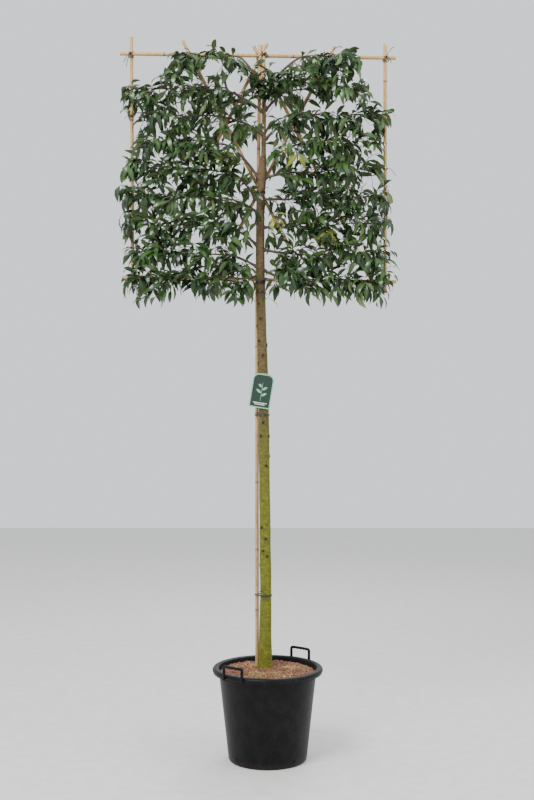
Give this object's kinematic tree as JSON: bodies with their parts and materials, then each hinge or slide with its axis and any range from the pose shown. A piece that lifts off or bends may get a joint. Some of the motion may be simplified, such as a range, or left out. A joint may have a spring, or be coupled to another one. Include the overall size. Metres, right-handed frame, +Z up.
{
  "type": "potted espalier portuguese laurel",
  "caption": "Clear-stemmed evergreen laurel trained flat on a square rack of tied canes, growing in a round black pot with moulded carrying handles.",
  "frame": {"origin": "centre of the pot's flat underside, on the surface it stands on", "axes": "+Z up along the trunk, -Y towards the side the rack is seen from, +X along the rails to the right of that view"},
  "size_m": [1.2163, 0.48, 3.1523],
  "materials": {
    "pot": "satin",
    "soil": "matte",
    "bark": "matte",
    "twig": "matte",
    "cane": "satin",
    "tie": "matte",
    "label": "gloss",
    "leaf": "satin"
  },
  "bodies": {
    "root": {"pot": "pot", "handle_back": "pot", "handle_front": "pot", "soil": "soil", "trunk": "bark", "left_upright": "cane", "right_upright": "cane", "top_rail": "cane", "bottom_rail": "cane", "centre_cane": "cane", "brace_left_down": "cane", "brace_right_down": "cane", "brace_left_up": "cane", "brace_right_up": "cane", "post_cane": "cane", "tie_1": "tie", "tie_2": "tie", "tie_3": "tie", "tie_4": "tie", "tie_5": "tie", "label_card": "label", "bough_left_1": "twig", "foliage_left_1": "leaf", "bough_left_2": "twig", "foliage_left_2": "leaf", "bough_left_3": "twig", "foliage_left_3": "leaf", "bough_left_4": "twig", "foliage_left_4": "leaf", "bough_left_5": "twig", "foliage_left_5": "leaf", "bough_left_6": "twig", "foliage_left_6": "leaf", "bough_left_7": "twig", "foliage_left_7": "leaf", "bough_left_8": "twig", "foliage_left_8": "leaf", "bough_left_9": "twig", "foliage_left_9": "leaf", "bough_right_1": "twig", "foliage_right_1": "leaf", "bough_right_2": "twig", "foliage_right_2": "leaf", "bough_right_3": "twig", "foliage_right_3": "leaf", "bough_right_4": "twig", "foliage_right_4": "leaf", "bough_right_5": "twig", "foliage_right_5": "leaf", "bough_right_6": "twig", "foliage_right_6": "leaf", "bough_right_7": "twig", "foliage_right_7": "leaf", "bough_right_8": "twig", "foliage_right_8": "leaf", "bough_right_9": "twig", "foliage_right_9": "leaf"}
  },
  "joints": []
}
